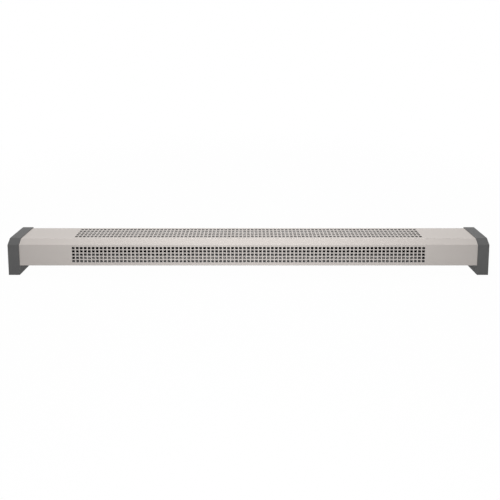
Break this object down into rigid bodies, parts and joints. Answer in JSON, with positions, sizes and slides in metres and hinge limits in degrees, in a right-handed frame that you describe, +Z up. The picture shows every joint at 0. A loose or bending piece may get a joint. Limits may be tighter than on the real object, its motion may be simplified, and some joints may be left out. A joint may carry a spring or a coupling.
{
  "type": "plinth convector heater",
  "caption": "Long, low plinth heater: folded sheet-metal casing punched with square holes in front and top, between moulded end caps that stand as legs, with a finned element inside.",
  "frame": {"origin": "on the floor, under the middle of the heater", "axes": "+X along the heater towards the right-hand end cap, +Y from front to back, +Z up"},
  "size_m": [1.45, 0.09, 0.109],
  "materials": {
    "casing_paint": "satin stoved enamel, warm light grey",
    "cap_plastic": "fine-grained moulding, dark grey",
    "galvanised_steel": "galvanised sheet",
    "bright_aluminium": "plain mill finish",
    "dark_element": "heat-blackened steel",
    "plated_steel": "zinc plated",
    "terminal_brass": "plain",
    "white_ceramic": "unglazed",
    "black_plastic": "plain moulding",
    "grommet_rubber": "plain",
    "brown_lead": "silicone sleeve",
    "white_lead": "silicone sleeve",
    "blue_lead": "silicone sleeve",
    "green_lead": "silicone sleeve"
  },
  "bodies": {
    "root": {"casing": "casing_paint", "left_end_cap": "cap_plastic", "right_end_cap": "cap_plastic", "chassis": "galvanised_steel", "reflector": "bright_aluminium", "left_end_plate": "galvanised_steel", "right_end_plate": "galvanised_steel", "left_bulkhead": "galvanised_steel", "right_bulkhead": "galvanised_steel", "left_cap_screws": "plated_steel", "right_cap_screws": "plated_steel", "casing_screws": "plated_steel", "rear_screws": "plated_steel", "end_plate_rivets": "bright_aluminium", "bulkhead_rivets": "bright_aluminium", "reflector_rivets": "bright_aluminium", "element_sheath": "dark_element", "element_fins": "dark_element", "element_beads": "white_ceramic", "terminal_studs": "plated_steel", "terminal_nuts": "plated_steel", "left_element_bush": "white_ceramic", "right_element_bush": "white_ceramic", "element_supports": "galvanised_steel", "support_rivets": "bright_aluminium", "thermal_cutout": "black_plastic", "cutout_clip": "plated_steel", "clip_screws": "plated_steel", "terminal_block": "white_ceramic", "clamp_screws": "terminal_brass", "block_screws": "plated_steel", "earth_stud": "plated_steel", "earth_nuts": "terminal_brass", "cable_gland": "black_plastic", "gland_locknut": "black_plastic", "left_lead_grommet": "grommet_rubber", "right_lead_grommet": "grommet_rubber", "live_lead": "brown_lead", "element_lead": "white_lead", "neutral_lead": "blue_lead", "earth_lead": "green_lead"}
  },
  "joints": []
}
